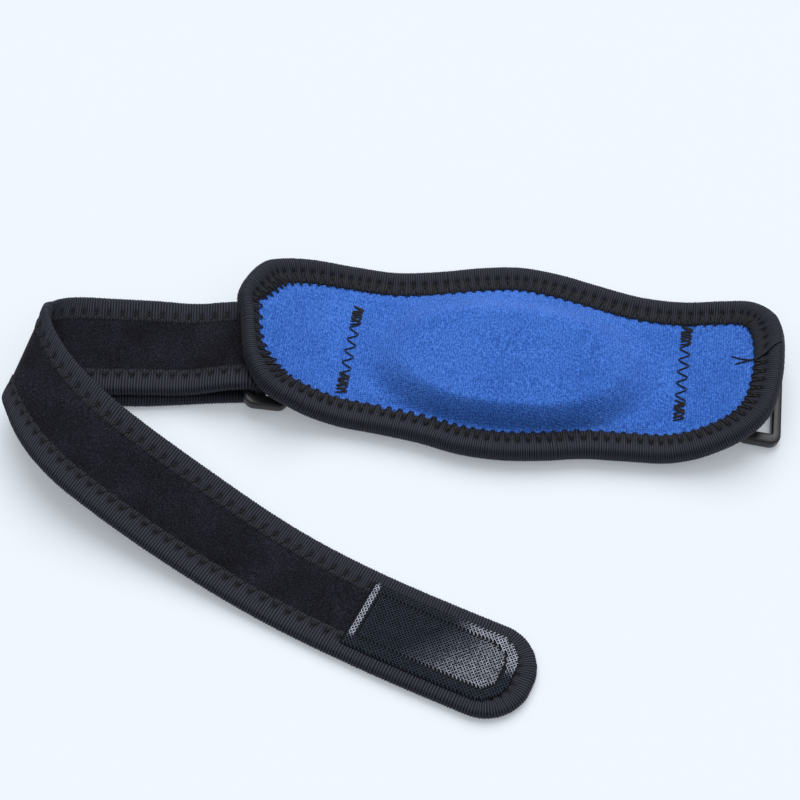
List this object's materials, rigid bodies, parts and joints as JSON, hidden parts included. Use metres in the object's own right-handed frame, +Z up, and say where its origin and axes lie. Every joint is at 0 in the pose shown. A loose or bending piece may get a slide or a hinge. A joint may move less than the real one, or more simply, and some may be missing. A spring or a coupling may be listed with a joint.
{
  "type": "tennis elbow strap",
  "caption": "Forearm brace for tennis elbow: oval cushioned pad with a raised pressure dome, plastic loops at its ends and a hook-tipped wrap strap lying folded back.",
  "frame": {"origin": "middle of the underside of the whole, on the surface it lies on", "axes": "+X along the pad from its strap end to its free ring, +Y from the strap's tip side to the pad, +Z up"},
  "size_m": [0.283, 0.1846, 0.0226],
  "materials": {
    "pad_cloth": "matte knitted nylon on neoprene",
    "black_cloth": "matte brushed loop cloth on neoprene",
    "foam": "matte foam",
    "binding_tape": "matte ribbed binding tape",
    "webbing": "matte webbing",
    "ring_plastic": "satin moulded plastic",
    "hook_plastic": "fine hook field, slightly glossy"
  },
  "bodies": {
    "root": {"pad_face": "pad_cloth", "pad_back": "black_cloth", "pressure_insert": "foam", "pad_binding": "binding_tape", "tab_left": "webbing", "tab_right": "webbing", "ring_left": "ring_plastic", "ring_right": "ring_plastic", "strap": "black_cloth", "strap_binding": "binding_tape", "hook_tab": "hook_plastic"}
  },
  "joints": []
}
